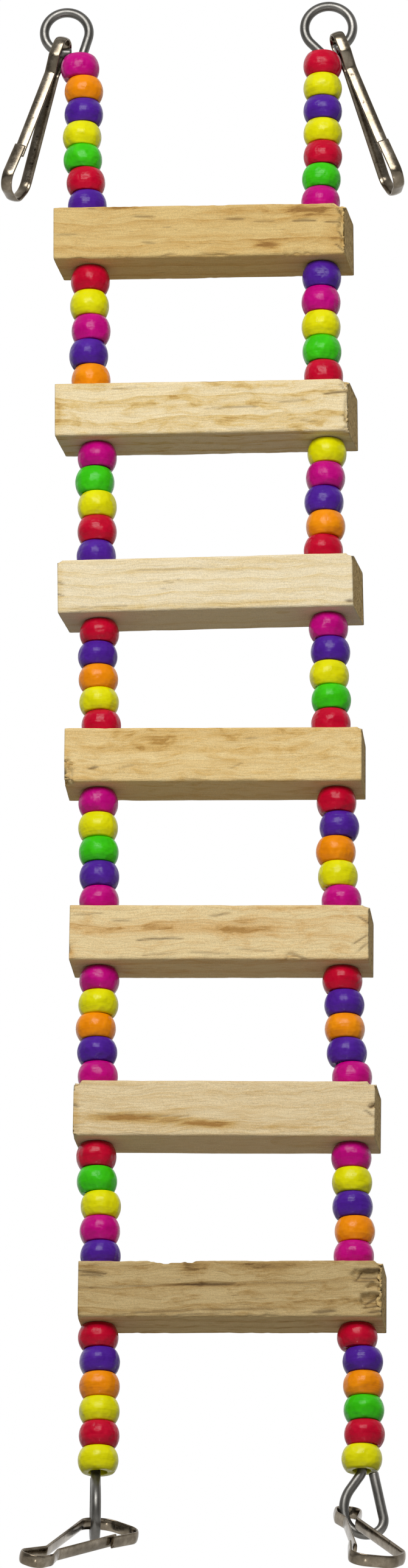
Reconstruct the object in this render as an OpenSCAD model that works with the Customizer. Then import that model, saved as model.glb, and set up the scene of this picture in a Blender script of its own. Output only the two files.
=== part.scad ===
// Bird ladder: seven square wooden rungs threaded on two bent wire rods, with coloured
// barrel beads as spacers and a snap clip on each of the four wire eyes.
// Z is up, X runs along the rungs, and the origin is the middle of the back face of
// the fourth rung. Everything is in millimetres.

/* [Rungs] */
// Length of a rung along X
rung_length = 67; // [56:0.5:100]
// Side of the square section of a rung
rung_size = 13; // [10:0.5:20]
// Rounding of the long edges of a rung
rung_edge = 0.6; // [0.2:0.1:1.5]
// Hole that is drilled through a rung for each rod
rung_hole = 3.4; // [3:0.1:5]

/* [Rods] */
// Diameter of the galvanised wire
rod_diameter = 2.2; // [1.8:0.1:2.6]
// Distance from the end of a centred rung in to the left rod
left_rod_inset = 8; // [7:0.5:12]
// Distance from the end of a centred rung in to the right rod
right_rod_inset = 8.3; // [7.3:0.5:12.3]
// Centre line radius of the large bends that bow a rod
rod_bow_radius = 300; // [150:10:600]
// Radius of the left ring eye at the top, to the middle of the wire
left_ring = 5.2; // [4.6:0.1:7]
// Radius of the right ring eye at the top, to the middle of the wire
right_ring = 5.6; // [4.6:0.1:7]
// Length of the pear-shaped eyes at the bottom, to the middle of the wire
pear_length = 14.2; // [13:0.1:18]

/* [Beads] */
// Outside diameter of a bead
bead_diameter = 9; // [8:0.1:11]
// Hole through a bead
bead_hole = 4; // [3.6:0.1:4.6]
// Diameter of the flat end of a bead
bead_flat = 7; // [6:0.1:8]
// Free play at each bead end
bead_play = 0.1; // [0.05:0.01:0.3]
// Height of the bead column above the first rung
top_column = 40.6; // [35:0.1:50]
// Height of the bead column below the last rung
bottom_column = 33.6; // [28:0.1:45]

/* [Snap clips] */
// Width of the spring strip that a clip is bent from
clip_width = 2.7; // [2:0.1:3.5]
// Thickness of the strip
clip_thickness = 0.85; // [0.6:0.05:1]
// Length of the gate from the loop to the end of the nose
gate_length = 20; // [16:0.5:26]
// How far the gate reaches inside the nose
gate_overlap = 2.3; // [1:0.1:4]
// Length of the nose from its free end to its bend
nose_length = 9.9; // [7:0.1:14]
// Width of the broad end of a clip
bow_width = 11.65; // [10.05:0.1:16.05]
// Gap between the gate and the nose that it springs against
gate_gap = 0.1; // [0.05:0.01:0.2]
// Free play between a clip and the wire that it hangs on
hang_gap = 0.12; // [0.1:0.01:0.3]

/* [Hidden] */
$fn = 48;
wood = "#D9C08E";
wire = "#7D8285";
nickel = "#A69C8A";
magenta = "#B5058A";
orange = "#F78B08";
purple = "#4E1F8C";
yellow = "#E8E80A";
green = "#2DB81F";
red = "#C0052D";

// The ladder is put together by hand, so no two spaces are quite the same: for each
// rung from the top its height, its place along X, its slope in degrees, and the
// angle in degrees that its ends are sawn off square
rungs = [
    [128.7, -3.6, -0.4, 8.4],
    [84.7, -2.9, -0.5, 8.9],
    [41.5, -1.9, -1.0, 9.6],
    [0, 0, 0.3, 3],
    [-42.5, 1.5, 0.5, 3.6],
    [-83.9, 2.7, 0.7, 5],
    [-125.7, 4.1, 0.4, 3.6]
];
// Bead colours from the top down, one string for each space: above the first rung,
// between the rungs, and below the last. The letters are the first ones of the colours.
left_beads = ["MOPYGRP", "RYMPO", "MGYRP", "RPOYR", "MYGPM", "MYOPM", "RGYMP", "RPOYRY"];
right_beads = ["RYPYRGM", "PMYGR", "YMPOR", "MPYGR", "RPOYM", "RPOPM", "MYPOM", "RPOGRY"];
// How far each of them has slid sideways on the wire: 0 left, 4 in the middle, 8 right
left_slides = ["0430034", "53402", "73542", "30014", "11233", "43023", "23878", "688887"];
right_slides = ["3333310", "10013", "75352", "56342", "46014", "01016", "00020", "288884"];

// The metal draws a little thinner in each bend, on every side, and the straight pieces
// reach this far into the bends
thinning = 0.01;
lap = 0.06;

last = len(rungs) - 1;
top_z = rungs[0][0] + rung_size / 2 + top_column;
bottom_z = rungs[last][0] - rung_size / 2 - bottom_column;
// Bends of each rod as [height, X], from its bottom eye up to its top eye
left_rod_x = left_rod_inset - rung_length / 2;
right_rod_x = rung_length / 2 - right_rod_inset;
left_line = [[bottom_z, left_rod_x], [20, left_rod_x], [top_z, left_rod_x - 5.5]];
right_line = [[bottom_z, right_rod_x + 7.8], [-95, right_rod_x + 6.4], [45, right_rod_x],
    [top_z, right_rod_x - 0.2]];
// Middle of each ring eye at the top, as [X, height]
left_ring_middle = [left_line[2][1] - 3.8, top_z + left_ring + rod_diameter / 2 + 0.05];
right_ring_middle = [right_line[3][1] + 1.25, top_z + right_ring + rod_diameter / 2 + 0.1];

// Height of the face of rung i that looks up (side 1) or down (side -1), at place x
function face_z(i, x, side) =
    rungs[i][0] + side * rung_size / 2 / cos(rungs[i][2]) - (x - rungs[i][1]) * tan(rungs[i][2]);

// Upper and lower limit of bead space s beside the rod that stands at x
function space_top(s, x) = s == 0 ? top_z : face_z(s - 1, x, -1);
function space_bottom(s, x) = s > last ? bottom_z : face_z(s, x, 1);

// Flat path helpers. A path is a list of [x, y, bend radius].
function flat(p) = [p[0], p[1]];
function unit(v) = v / norm(v);
function turn_at(p, i) = (i == 0 || i == len(p) - 1) ? 0 :
    let(u = flat(p[i]) - flat(p[i - 1]), v = flat(p[i + 1]) - flat(p[i]))
    atan2(u[0] * v[1] - u[1] * v[0], u * v);
function setback(p, i) = abs(turn_at(p, i)) < 0.001 ? 0 : p[i][2] * abs(tan(turn_at(p, i) / 2));

// A ring of radius r about c, as the corners of a path that comes from point p and
// winds the given angle to the left, then runs straight on for tail
function ring_path(p, c, r, wind, tail) =
    let(v = c - p, start = atan2(v[1], v[0]) - asin(r / norm(v)), step = wind / 3,
        out = r / cos(step / 2), a = start + wind)
    concat(
        [for (k = [0 : 2]) let(h = start + step * (k + 0.5))
            [c[0] + out * sin(h), c[1] - out * cos(h), r]],
        [[c[0] + r * sin(a) + tail * cos(a), c[1] - r * cos(a) + tail * sin(a), 0]]);

function moved(path, d) = [for (q = path) [q[0] + d[0], q[1] + d[1], q[2]]];
function mirrored(path) = [for (q = path) [-q[0], q[1], q[2]]];
function reversed(path) = [for (i = [len(path) - 1 : -1 : 0]) path[i]];

// Bends a bar along a path, one straight piece and one bend after the other: child 0 is
// a straight piece of the length $run along X that reaches $lap into the bends beside
// it, child 1 a bend of radius $bend about the origin through $turn degrees
module along(path) {
    u = flat(path[1]) - flat(path[0]);
    translate([path[0][0], path[0][1], 0]) rotate([0, 0, atan2(u[1], u[0])])
        from_corner(path, 0) {
            children(0);
            children(1);
        }
}

module from_corner(path, i) {
    $run = norm(flat(path[i + 1]) - flat(path[i])) - setback(path, i) - setback(path, i + 1);
    $lap = [i == 0 ? 0 : lap, i == len(path) - 2 ? 0 : lap];
    children(0);
    if (i < len(path) - 2) {
        t = turn_at(path, i + 1);
        $turn = abs(t);
        $bend = path[i + 1][2];
        translate([$run, sign(t) * $bend, 0]) {
            rotate([0, 0, t > 0 ? -90 : 90 + t]) children(1);
            rotate([0, 0, t]) translate([0, -sign(t) * $bend, 0])
                from_corner(path, i + 1) {
                    children(0);
                    children(1);
                }
        }
    }
}

// Round wire of diameter d bent along a path in the plane z = 0
module bent_wire(path, d) {
    along(path) {
        translate([-$lap[0], 0, 0]) rotate([0, 90, 0])
            cylinder(d = d, h = $run + $lap[0] + $lap[1]);
        rotate_extrude(angle = $turn) translate([$bend, 0]) circle(d = d - 2 * thinning);
    }
}

// Flat strip bent along a path, with its width across the plane
module bent_strip(path, w, t) {
    thin = [t, w] - [2, 2] * thinning;
    along(path) {
        translate([-$lap[0], -t / 2, -w / 2]) cube([$run + $lap[0] + $lap[1], t, w]);
        rotate_extrude(angle = $turn) translate([$bend, 0]) square(thin, center = true);
    }
}

// Paths of the wire in the plane of the ladder, as [X, Z, bend radius]
function bend_at(point, radius, rise = 0) = [point[1], point[0] + rise, radius];
left_shank = bend_at(left_line[2], 4, 0.8);
right_shank = bend_at(right_line[3], 2.6);
left_top_eye = ring_path(flat(left_shank), left_ring_middle, left_ring, 285, 1.2);
right_top_eye = mirrored(ring_path(flat(mirrored([right_shank])[0]),
    flat(mirrored([right_ring_middle])[0]), right_ring, 288, 1));
pear = [
    [0, -0.3, 2.5],
    [-4.7, -7, 7.9],
    [-2.6, -0.8 - pear_length, 4.9],
    [5.3, 0.5 - pear_length, 3.1],
    [2.5, -0.5, 0]
];
left_pear = concat([[0, 4, 0]], pear);
pear_start = setback(left_pear, 1) - 0.3 - lap;
left_path = concat(
    reversed(left_top_eye),
    [left_shank, bend_at(left_line[1], rod_bow_radius), bend_at(left_line[0], 0, pear_start)]);
right_path = concat(
    reversed(right_top_eye),
    [right_shank, bend_at(right_line[2], rod_bow_radius), bend_at(right_line[1], rod_bow_radius)],
    moved(pear, [right_line[0][1], bottom_z]));

module rod_shape(path, d) {
    rotate([90, 0, 0]) bent_wire(path, d);
}

module left_rod() {
    color(wire) ladder_plane() {
        rod_shape(left_path, rod_diameter);
        translate([left_line[0][1], 0, bottom_z]) rotate([0, 0, 95])
            rod_shape(left_pear, rod_diameter - 2 * thinning);
    }
}

module right_rod() {
    color(wire) ladder_plane() rod_shape(right_path, rod_diameter);
}

// The rods run through the middle of the rungs, half a rung in front of the origin
module ladder_plane() {
    translate([0, -rung_size / 2, 0]) children();
}

// Square bar along X with softened long edges, its two ends sawn askew side by side, so
// that the back face lies a little further to the right than the front one
module rung_bar(skew) {
    s = rung_size;
    difference() {
        translate([-rung_length / 2 - s, 0, 0]) rotate([90, 0, 90])
            linear_extrude(rung_length + 3 * s) rounded_square(s, rung_edge);
        for (end = [-1, 1]) translate([end * rung_length / 2, -s / 2, 0]) rotate([0, 0, -skew])
            translate([end > 0 ? 0 : -4 * s, -s, -s]) cube([4 * s, 4 * s, 2 * s]);
    }
}

module rounded_square(s, r) {
    union() {
        square([s, s - 2 * r], center = true);
        square([s - 2 * r, s], center = true);
        for (x = [-1, 1], y = [-1, 1]) translate([x, y] * (s / 2 - r)) circle(r);
    }
}

// Rung i in place, with the two rod holes drilled along the rods
module rung(i) {
    color(wood) ladder_plane() difference() {
        translate([rungs[i][1], 0, rungs[i][0]]) rotate([0, rungs[i][2], 0])
            rung_bar(rungs[i][3]);
        for (line = [left_line, right_line]) rod_hole(line, rungs[i][0]);
    }
}

// Straight drilling that follows the rod past height z
module rod_hole(line, z) {
    d = rung_size;
    low = lookup(z - d, line);
    high = lookup(z + d, line);
    translate([low, 0, z - d]) rotate([0, atan2(high - low, 2 * d), 0])
        cylinder(d = rung_hole, h = norm([high - low, 2 * d]));
}

// Barrel bead standing on z = 0: flat ends, bulging side, straight hole
module bead(length) {
    rise = length / 2;
    step = (bead_diameter - bead_flat) / 2;
    bulge = (step * step + rise * rise) / (2 * step);
    rotate_extrude() difference() {
        intersection() {
            translate([bead_hole / 2, 0]) square([bead_diameter, length]);
            translate([bead_diameter / 2 - bulge, rise]) circle(bulge, $fn = 96);
        }
        translate([-bead_diameter, 0]) square([bead_diameter, length]);
    }
}

// All beads of one colour letter on one side. Each space shares its height out evenly
// among its beads, and every bead sits a little off the wire, to the side it slid to.
module beads(spaces, slides, line, letter) {
    ladder_plane()
        for (s = [0 : len(spaces) - 1]) {
            n = len(spaces[s]);
            for (k = [0 : n - 1]) if (spaces[s][k] == letter) {
                near = lookup((space_top(s, 0) + space_bottom(s, 0)) / 2, line);
                top = space_top(s, near);
                length = (top - space_bottom(s, near) - (n + 1) * bead_play) / n;
                z = top - (k + 1) * (length + bead_play);
                slide = (ord(slides[s][k]) - ord("4")) / 5 * (bead_hole - rod_diameter) / 2;
                translate([lookup(z + length / 2, line) + slide, 0, z]) bead(length);
            }
        }
}

// Snap clip bent from one strip, seen in its own plane: gate along X, nose and broad
// bow at the far end, back strand, neck, and the small loop that the wire eye runs in
gate_y = clip_thickness / 2 + gate_gap / 2;
nose_y = -clip_thickness / 2 - gate_gap / 2;
loop_y = -0.75 - clip_thickness / 2;
clip_path = [
    [gate_length + gate_overlap, gate_y, 0],
    [0, gate_y, 2],
    [-4, loop_y, 2],
    [-9.6, loop_y + 0.15, 2.6],
    [-9.4, 4.9, 2.2],
    [-0.6, 3.1, 1.2],
    [gate_length + nose_length - 4.42, nose_y + bow_width, 4],
    [gate_length + nose_length + 0.78, nose_y + bow_width - 3.18, 4.2],
    [gate_length + nose_length + 1.1, nose_y - 1, 3.4],
    [gate_length, nose_y, 0]
];

module snap_clip() {
    color(nickel) bent_strip(clip_path, clip_width, clip_thickness);
}

// A clip that hangs on the wire at point p: seat is the middle of the wire as the clip
// sees it, and angles turn the clip to the way it hangs
module hung_clip(p, angles, seat) {
    ladder_plane() translate(p) rotate(angles) translate(-seat) snap_clip();
}

// Half of the wire and the play, the least distance from the strip to the wire's middle
reach = rod_diameter / 2 + hang_gap;
in_loop = loop_y + clip_thickness / 2 + reach;

// Point at an angle on a ring eye
function on_ring(middle, r, a) = [middle[0] + r * cos(a), 0, middle[1] + r * sin(a)];

module top_left_clip() {
    hung_clip(on_ring(left_ring_middle, left_ring, 226.6) + [0.42, -0.1, -0.22],
        [-166.6, 71, -178.3], [-6.2, in_loop, -1.54]);
}

module top_right_clip() {
    hung_clip(on_ring(right_ring_middle, right_ring, -17.8) + [-0.98, -0.44, -0.63],
        [-1.1, 68.7, 6.6], [-7.83, in_loop + 0.1, 2.2]);
}

module bottom_left_clip() {
    hung_clip([left_line[0][1] + 1.4, 2.16, bottom_z - pear_length - 0.05], [26.2, -21.3, 55.8],
        [gate_length + nose_length - 2.28, nose_y + bow_width - 4.125, -clip_width / 2 - reach]);
}

module bottom_right_clip() {
    hung_clip([right_line[0][1] - 2.25, -0.75, bottom_z - pear_length + 0.59],
        [-4.1, 30.5, -82.7], [-3.14, 2.54, 0.15 - clip_width / 2 - reach]);
}

module rung_1() rung(0);
module rung_2() rung(1);
module rung_3() rung(2);
module rung_4() rung(3);
module rung_5() rung(4);
module rung_6() rung(5);
module rung_7() rung(6);
module left_magenta_beads() color(magenta) beads(left_beads, left_slides, left_line, "M");
module left_orange_beads() color(orange) beads(left_beads, left_slides, left_line, "O");
module left_purple_beads() color(purple) beads(left_beads, left_slides, left_line, "P");
module left_yellow_beads() color(yellow) beads(left_beads, left_slides, left_line, "Y");
module left_green_beads() color(green) beads(left_beads, left_slides, left_line, "G");
module left_red_beads() color(red) beads(left_beads, left_slides, left_line, "R");
module right_magenta_beads() color(magenta) beads(right_beads, right_slides, right_line, "M");
module right_orange_beads() color(orange) beads(right_beads, right_slides, right_line, "O");
module right_purple_beads() color(purple) beads(right_beads, right_slides, right_line, "P");
module right_yellow_beads() color(yellow) beads(right_beads, right_slides, right_line, "Y");
module right_green_beads() color(green) beads(right_beads, right_slides, right_line, "G");
module right_red_beads() color(red) beads(right_beads, right_slides, right_line, "R");

rung_1();
rung_2();
rung_3();
rung_4();
rung_5();
rung_6();
rung_7();
left_rod();
right_rod();
left_magenta_beads();
left_orange_beads();
left_purple_beads();
left_yellow_beads();
left_green_beads();
left_red_beads();
right_magenta_beads();
right_orange_beads();
right_purple_beads();
right_yellow_beads();
right_green_beads();
right_red_beads();
top_left_clip();
top_right_clip();
bottom_left_clip();
bottom_right_clip();
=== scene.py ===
import bpy
import numpy as np
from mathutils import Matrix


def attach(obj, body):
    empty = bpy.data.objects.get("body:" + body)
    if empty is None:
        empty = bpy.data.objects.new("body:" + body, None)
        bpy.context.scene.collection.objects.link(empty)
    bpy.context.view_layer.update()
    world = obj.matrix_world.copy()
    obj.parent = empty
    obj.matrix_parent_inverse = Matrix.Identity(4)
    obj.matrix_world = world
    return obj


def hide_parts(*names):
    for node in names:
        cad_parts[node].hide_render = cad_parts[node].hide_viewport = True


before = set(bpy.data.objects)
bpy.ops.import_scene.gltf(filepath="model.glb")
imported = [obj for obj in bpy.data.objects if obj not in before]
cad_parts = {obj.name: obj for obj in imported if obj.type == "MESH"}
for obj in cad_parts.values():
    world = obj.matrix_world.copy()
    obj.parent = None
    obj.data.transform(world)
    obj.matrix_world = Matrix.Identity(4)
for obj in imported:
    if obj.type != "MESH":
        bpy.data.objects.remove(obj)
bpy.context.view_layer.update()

# Camera. It stands in front of the ladder and well below its middle, a long lens looking
# up at 20 degrees, so that the undersides of the rungs show.
azimuth, elevation, roll = np.radians([2.0, -20.46, 0.195])
target = np.array([-2.2, -6.5, -4.79]) / 1000
camera_distance, focal_length, sensor_width, far_limit = 2.016, 205.32, 36.0, 50.0


def pose(x_axis, y_axis, z_axis, at):
    """The matrix that turns an object to three axes and puts it at a point, column by column."""
    matrix = np.eye(4)
    matrix[:3] = np.stack([x_axis, y_axis, z_axis, at], -1)
    return matrix.T


flat_part = np.cos(elevation)
back = np.array([np.sin(azimuth) * flat_part, -np.cos(azimuth) * flat_part, np.sin(elevation)])
level = np.array([np.cos(azimuth), np.sin(azimuth), 0.0])
upright = np.cross(back, level)
right_hand = level * np.cos(roll) + upright * np.sin(roll)
overhead = upright * np.cos(roll) - level * np.sin(roll)
lens = bpy.data.cameras.new("camera")
lens.lens, lens.sensor_width, lens.clip_end = focal_length, sensor_width, far_limit
camera = bpy.data.objects.new("camera", lens)
camera.matrix_world = pose(right_hand, overhead, back, target + back * camera_distance)
bpy.context.scene.collection.objects.link(camera)
bpy.context.scene.camera = camera
bpy.context.scene.view_settings.view_transform = "Standard"


# Studio. The ladder hangs over a pale floor in front of open white, lit by a wide soft
# box high in front of it and one small bare lamp low down.
def colour(code):
    """A hex colour as linear red, green, blue and alpha: the sRGB curve undone channel by channel."""
    c = np.array([int(code[i:i + 2], 16) for i in (1, 3, 5)]) / 255
    c = np.where(c <= 0.04045, c / 12.92, ((c + 0.055) / 1.055) ** 2.4)
    return (*c.tolist(), 1.0)


def add(tree, kind, values={}, links={}, **settings):
    """Adds a node: settings are its own properties, values its fixed sockets, links the outputs that
    feed it."""
    made = tree.nodes.new(kind)
    for key, value in settings.items():
        setattr(made, key, value)
    for key, value in values.items():
        made.inputs[key].default_value = value
    for key, source in links.items():
        tree.links.new(source, made.inputs[key])
    return made


def calc(tree, operation, *terms, kind="ShaderNodeMath", **settings):
    """Adds a node that calculates with its terms: numbers, vectors or the outputs of other nodes."""
    fixed = {i: term for i, term in enumerate(terms) if isinstance(term, (int, float, tuple))}
    fed = {i: term for i, term in enumerate(terms) if i not in fixed}
    return add(tree, kind, fixed, fed, operation=operation, **settings).outputs[0]


def remap(tree, source, span, to=(0.0, 1.0)):
    """Stretches a value from one span to another, held at both ends."""
    values = {"From Min": span[0], "From Max": span[1], "To Min": to[0], "To Max": to[1]}
    return add(tree, "ShaderNodeMapRange", values, {"Value": source}).outputs["Result"]


def ramp(tree, source, stops):
    """Adds a colour ramp on source: stops are (place, hex colour)."""
    made = add(tree, "ShaderNodeValToRGB", links={"Fac": source})
    while len(made.color_ramp.elements) < len(stops):
        made.color_ramp.elements.new(0.5)
    for element, (at, code) in zip(made.color_ramp.elements, stops):
        element.position, element.color = at, colour(code)
    return made.outputs["Color"]


def new_material(name):
    """A new material and its node tree, emptied."""
    material = bpy.data.materials.new(name)
    material.use_nodes = True
    material.node_tree.nodes.clear()
    return material, material.node_tree


# the air is white to the camera, through clear things and where gloss shows what lies behind the
# ladder, and a dim grey room to all else
sky = bpy.data.worlds.new("studio_air")
bpy.context.scene.world = sky
sky.use_nodes = True
air = sky.node_tree
air.nodes.clear()
heading = add(air, "ShaderNodeTexCoord")
split = add(air, "ShaderNodeSeparateXYZ", links={0: heading.outputs["Generated"]})
behind = remap(air, split.outputs["Y"], (-0.35, 0.35))
ray = add(air, "ShaderNodeLightPath").outputs
shiny = calc(air, "MULTIPLY", ray["Is Glossy Ray"], behind)
straight = calc(air, "MAXIMUM", ray["Is Camera Ray"], shiny)
clear = calc(air, "MAXIMUM", straight, ray["Is Transmission Ray"])
height = remap(air, split.outputs["Z"], (-1.0, 1.0))
shade = ramp(air, height, [(0.0, "#303030"), (0.42, "#585858"), (0.62, "#8A8A8A"), (1.0, "#B4B4B4")])
room = add(air, "ShaderNodeBackground", {"Strength": 1.0}, {"Color": shade})
white = add(air, "ShaderNodeBackground", {"Color": colour("#FFFFFF"), "Strength": 1.0})
mixed = add(air, "ShaderNodeMixShader", links={0: clear, 1: room.outputs[0], 2: white.outputs[0]})
add(air, "ShaderNodeOutputWorld", links={"Surface": mixed.outputs[0]})


def area_lamp(name, at, aim, size, power):
    """A rectangular area lamp at a point in metres, turned to aim, that the camera itself doesn't see."""
    data = bpy.data.lights.new(name, "AREA")
    data.shape, data.size, data.size_y, data.energy = "RECTANGLE", size[0], size[1], power
    lamp = bpy.data.objects.new(name, data)
    away = np.array(at, float) - np.array(aim, float)
    away /= np.linalg.norm(away)
    side = np.cross([0.0, 0.0, 1.0], away)
    side /= np.linalg.norm(side)
    lamp.matrix_world = pose(side, np.cross(away, side), away, at)
    lamp.visible_camera = False
    bpy.context.scene.collection.objects.link(lamp)


area_lamp("high_soft_box", (-0.1, -1.0, 0.5), (0, 0, 0), (0.8, 0.5), 11.4)
area_lamp("low_bare_lamp", (0.02, -0.62, -0.72), (0, 0, -0.02), (0.035, 0.035), 0.31)

floor_reach, floor_height = 6.0, -0.8
floor_corners = [(-1, -1), (1, -1), (1, 1), (-1, 1)]
floor_points = [(x * floor_reach, y * floor_reach, floor_height) for x, y in floor_corners]
floor_mesh = bpy.data.meshes.new("floor")
floor_mesh.from_pydata(floor_points, [], [(0, 1, 2, 3)])
floor = bpy.data.objects.new("floor", floor_mesh)
bpy.context.scene.collection.objects.link(floor)
# bright to the camera and in gloss, dimmer as a source of light, and clear from below
paint, tree = new_material("pale_floor_paint")
side = add(tree, "ShaderNodeNewGeometry")
ray = add(tree, "ShaderNodeLightPath").outputs
matt = add(tree, "ShaderNodeBsdfDiffuse", {"Color": colour("#EDECE9")})
glow = add(tree, "ShaderNodeEmission", {"Color": colour("#FFFFFF"), "Strength": 0.42})
lifted = add(tree, "ShaderNodeAddShader", links={0: matt.outputs[0], 1: glow.outputs[0]})
straight = calc(tree, "MAXIMUM", ray["Is Camera Ray"], ray["Is Glossy Ray"])
dim = add(tree, "ShaderNodeBsdfDiffuse", {"Color": colour("#9C9B99")})
top = add(tree, "ShaderNodeMixShader", links={0: straight, 1: dim.outputs[0], 2: lifted.outputs[0]})
under = add(tree, "ShaderNodeBsdfTransparent")
faced = {0: side.outputs["Backfacing"], 1: top.outputs[0], 2: under.outputs[0]}
whole = add(tree, "ShaderNodeMixShader", links=faced)
add(tree, "ShaderNodeOutputMaterial", links={"Surface": whole.outputs[0]})
floor_mesh.materials.append(paint)

# Rungs. Seven short square bars of softwood off the saw, each a different piece of the
# plank, so each has its own colour, streaks and damage. Their ends are sawn a little
# askew, the long edges are bruised and frayed, and each has two drilled holes.
rung_length, rung_size, rung_edge, rung_hole = 67.0, 13.0, 0.6, 3.4
rung_half = rung_size / 2
# depths of the damage: waves of the saw, fur and cut of the ends, strokes and how far they wander
saw_wave, fine_wave, end_fur, end_cut, stroke_depth, stroke_wander = 0.07, 0.05, 0.16, 0.1, 0.16, 0.16
# how far in from a long edge the outward direction turns, how deep the front face still counts as
# front, and how frayed the other long edges are as a share of the lower front one
edge_reach, front_skin, other_fray = 0.9, 0.35, 0.45
# the rods run through the middle of the rungs: height and place along X, from the foot up
rod_plane, top_z, bottom_z = -rung_half, 175.8, -165.8
left_line = np.array([[bottom_z, -25.5], [20, -25.5], [top_z, -31]])
right_line = np.array([[bottom_z, 33], [-95, 31.6], [45, 25.2], [top_z, 25]])
# how far the rings that close an end face have grown, and the count of rings between the two ends
end_steps = np.array([0.04, 0.12, 0.2, 0.28, 0.36, 0.44, 0.52, 0.6, 0.68, 0.76, 0.83, 0.89, 0.94, 0.975])
ring_count = 190


def noise(points, size, seed):
    """Smooth value noise from -1 to 1: random heights on a lattice of the given spacing, blended over
    each cell."""
    table = np.random.default_rng(seed).uniform(-1, 1, (32, 32, 32))
    q = points / np.asarray(size, float) + 7.3
    cell = np.floor(q).astype(int)
    f = q - cell
    f = f * f * (3 - 2 * f)
    total = 0
    for corner in np.ndindex(2, 2, 2):
        i = (cell + corner) % 32
        weight = np.prod(np.where(np.array(corner) == 1, f, 1 - f), axis=-1)
        total = total + table[i[..., 0], i[..., 1], i[..., 2]] * weight
    return total


def skin(rings, ends="poles"):
    """Faces over a stack of closed rings of points: quads from each ring to the next, and at the ends
    a fan to the middle of the ring (poles) or quads back to the first ring (wrap)."""
    rows, around = rings.shape[:2]
    points = rings.reshape(-1, 3)
    here = np.arange(around)
    there = (here + 1) % around
    last = rows if ends == "wrap" else rows - 1
    low = (np.arange(last) * around)[:, None]
    high = (np.arange(1, last + 1) % rows * around)[:, None]
    faces = np.stack([low + here, low + there, high + there, high + here], -1).reshape(-1, 4).tolist()
    if ends == "poles":
        points = np.vstack([points, rings[0].mean(0), rings[-1].mean(0)])
        top = (rows - 1) * around
        faces += np.stack([there, here, np.full(around, len(points) - 2)], -1).tolist()
        faces += np.stack([top + here, top + there, np.full(around, len(points) - 1)], -1).tolist()
    return points, faces


def inside_out(points, faces):
    """The same skin with its faces turned to the other side."""
    return points, [face[::-1] for face in faces]


def with_poles(values):
    """A mark of every ring point, and for the two poles of the skin the mean of the first and last ring."""
    return np.concatenate([values.ravel(), values[0].mean(keepdims=True), values[-1].mean(keepdims=True)])


def joined(skins):
    """Several skins as one: the points stacked, and each skin's faces counted on from the one before."""
    points, faces, count = [], [], 0
    for part, part_faces in skins:
        points.append(part)
        faces += [[i + count for i in face] for face in part_faces]
        count += len(part)
    return np.vstack(points), faces


def piece(name, skins, material, body, nodes, marks={}):
    """Makes one object of several skins (points in mm, faces), smooth, with its marks as point
    attributes."""
    points, faces = joined(skins)
    mesh = bpy.data.meshes.new(name)
    mesh.from_pydata((points / 1000).tolist(), [], faces)
    mesh.polygons.foreach_set("use_smooth", np.ones(len(faces), bool))
    for mark, values in marks.items():
        mesh.attributes.new(mark, "FLOAT", "POINT").data.foreach_set("value", values.astype(np.float32))
    mesh.materials.append(material)
    made = bpy.data.objects.new(name, mesh)
    bpy.context.scene.collection.objects.link(made)
    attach(made, body)
    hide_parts(*nodes)
    return made


def bar_rings(lean):
    """Rings of a square with rounded corners along X: one flat side and one corner arc, turned to all
    four sides. At both ends the rings shrink to close an end face that leans by lean, in mm per mm."""
    r = rung_edge
    side = np.linspace(-(rung_half - r), rung_half - r, 34)[:-1]
    bend = np.radians(np.linspace(0, 90, 5))[:-1]
    flat = np.stack([np.full_like(side, rung_half), side], -1)
    arc = np.stack([rung_half - r + r * np.cos(bend), rung_half - r + r * np.sin(bend)], -1)
    quarter = np.vstack([flat, arc])
    quarters = []
    for a in np.radians([0, 90, 180, 270]):
        quarters.append(quarter @ np.array([[np.cos(a), np.sin(a)], [-np.sin(a), np.cos(a)]]))
    section = np.vstack(quarters)
    stay = np.full(len(end_steps), 0.5)
    along = np.concatenate([-stay, np.linspace(-0.5, 0.5, ring_count), stay])
    shrink = np.concatenate([end_steps, [0.995], np.ones(ring_count - 2), [0.995], end_steps[::-1]])
    rings = np.zeros((len(along), len(section), 3))
    rings[..., 1:] = section * shrink[:, None, None]
    rings[..., 0] = along[:, None] * rung_length + lean * (rings[..., 1] + rung_half)
    return rings


def near(x, y, at, size):
    """A soft bump: 1 at the place and fading to 0 about one size away, squared distance in an
    exponential."""
    return np.exp(-((x - at[0]) / size[0]) ** 2 - ((y - at[1]) / size[1]) ** 2)


def dash(x, z, x0, z0, x1, z1, width):
    """A thin stroke from one point to another that tapers at its ends: the distance to the line, squared
    in an exponential."""
    t = np.clip((x - x0) / (x1 - x0), 0, 1)
    off = z - (z0 + (z1 - z0) * t)
    past = np.maximum(np.abs(x - (x0 + x1) / 2) - abs(x1 - x0) / 2, 0)
    taper = 0.35 + 0.65 * np.sin(np.pi * np.clip(t, 0.02, 0.98)) ** 0.5
    return np.exp(-(off / (width * taper)) ** 2 - (past / 0.5) ** 2)


def rod_x(line, height):
    """Place of a rod along X at a height."""
    return np.interp(height, line[:, 0], line[:, 1])


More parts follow.
